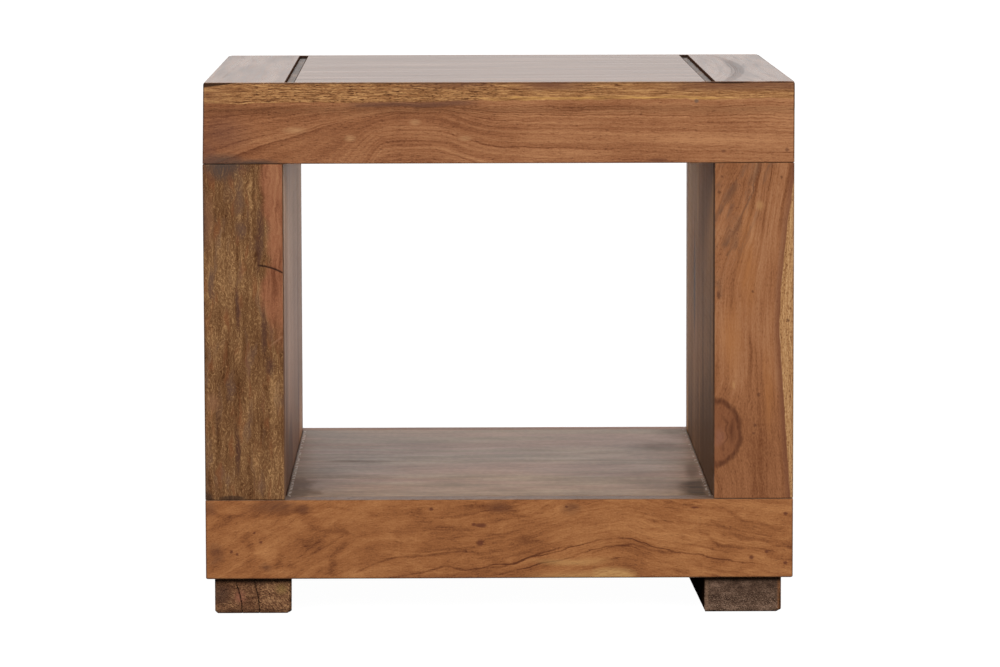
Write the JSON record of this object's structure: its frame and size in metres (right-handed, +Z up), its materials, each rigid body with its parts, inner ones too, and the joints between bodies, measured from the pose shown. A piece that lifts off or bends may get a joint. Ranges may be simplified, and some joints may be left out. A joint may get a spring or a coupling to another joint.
{
  "type": "coffee table with shelf",
  "caption": "Square low hardwood table: thick face frames, closed side walls, an open bay with a full-depth shelf, a top with shadow grooves, standing on floor runners.",
  "frame": {"origin": "on the floor under the middle of the table", "axes": "+Z up, +X to the right as seen from the front, and the front looks towards -Y"},
  "size_m": [0.5, 0.5, 0.453],
  "materials": {
    "rail_timber": "satin lacquer on golden brown heartwood with paler sapwood bands",
    "olive_post_timber": "satin lacquer on flecked olive brown wood",
    "amber_post_timber": "satin lacquer on amber heartwood with knots",
    "wall_timber": "satin lacquer on upright glued-up boards",
    "shelf_timber": "satin lacquer on glued-up boards",
    "top_timber": "satin lacquer on glued-up boards",
    "runner_timber": "dark stained wood with sawn end grain",
    "plain_timber": "planed and left bare",
    "screw_steel": "yellow zinc plated"
  },
  "bodies": {
    "root": {"front_top_rail": "rail_timber", "front_bottom_rail": "rail_timber", "front_left_post": "olive_post_timber", "front_right_post": "amber_post_timber", "back_top_rail": "rail_timber", "back_bottom_rail": "rail_timber", "back_left_post": "olive_post_timber", "back_right_post": "amber_post_timber", "tenon_front_left_upper": "plain_timber", "tenon_front_left_lower": "plain_timber", "tenon_front_right_upper": "plain_timber", "tenon_front_right_lower": "plain_timber", "tenon_back_left_upper": "plain_timber", "tenon_back_left_lower": "plain_timber", "tenon_back_right_upper": "plain_timber", "tenon_back_right_lower": "plain_timber", "left_inner_wall_board_1": "wall_timber", "left_inner_wall_board_2": "wall_timber", "left_inner_wall_board_3": "wall_timber", "left_inner_wall_board_4": "wall_timber", "left_outer_wall_board_1": "wall_timber", "left_outer_wall_board_2": "wall_timber", "left_outer_wall_board_3": "wall_timber", "left_outer_wall_board_4": "wall_timber", "right_inner_wall_board_1": "wall_timber", "right_inner_wall_board_2": "wall_timber", "right_inner_wall_board_3": "wall_timber", "right_inner_wall_board_4": "wall_timber", "right_outer_wall_board_1": "wall_timber", "right_outer_wall_board_2": "wall_timber", "right_outer_wall_board_3": "wall_timber", "right_outer_wall_board_4": "wall_timber", "left_wall_sill": "plain_timber", "left_wall_head": "plain_timber", "right_wall_sill": "plain_timber", "right_wall_head": "plain_timber", "left_shelf_bearer": "plain_timber", "left_top_bearer": "plain_timber", "right_shelf_bearer": "plain_timber", "right_top_bearer": "plain_timber", "shelf_board_1": "shelf_timber", "shelf_board_2": "shelf_timber", "shelf_board_3": "shelf_timber", "shelf_board_4": "shelf_timber", "top_left_end_board": "top_timber", "top_right_end_board": "top_timber", "top_board_1": "top_timber", "top_board_2": "top_timber", "top_board_3": "top_timber", "top_board_4": "top_timber", "left_runner": "runner_timber", "right_runner": "runner_timber", "left_runner_screw_1": "screw_steel", "left_runner_screw_2": "screw_steel", "left_runner_screw_3": "screw_steel", "right_runner_screw_1": "screw_steel", "right_runner_screw_2": "screw_steel", "right_runner_screw_3": "screw_steel"}
  },
  "joints": []
}
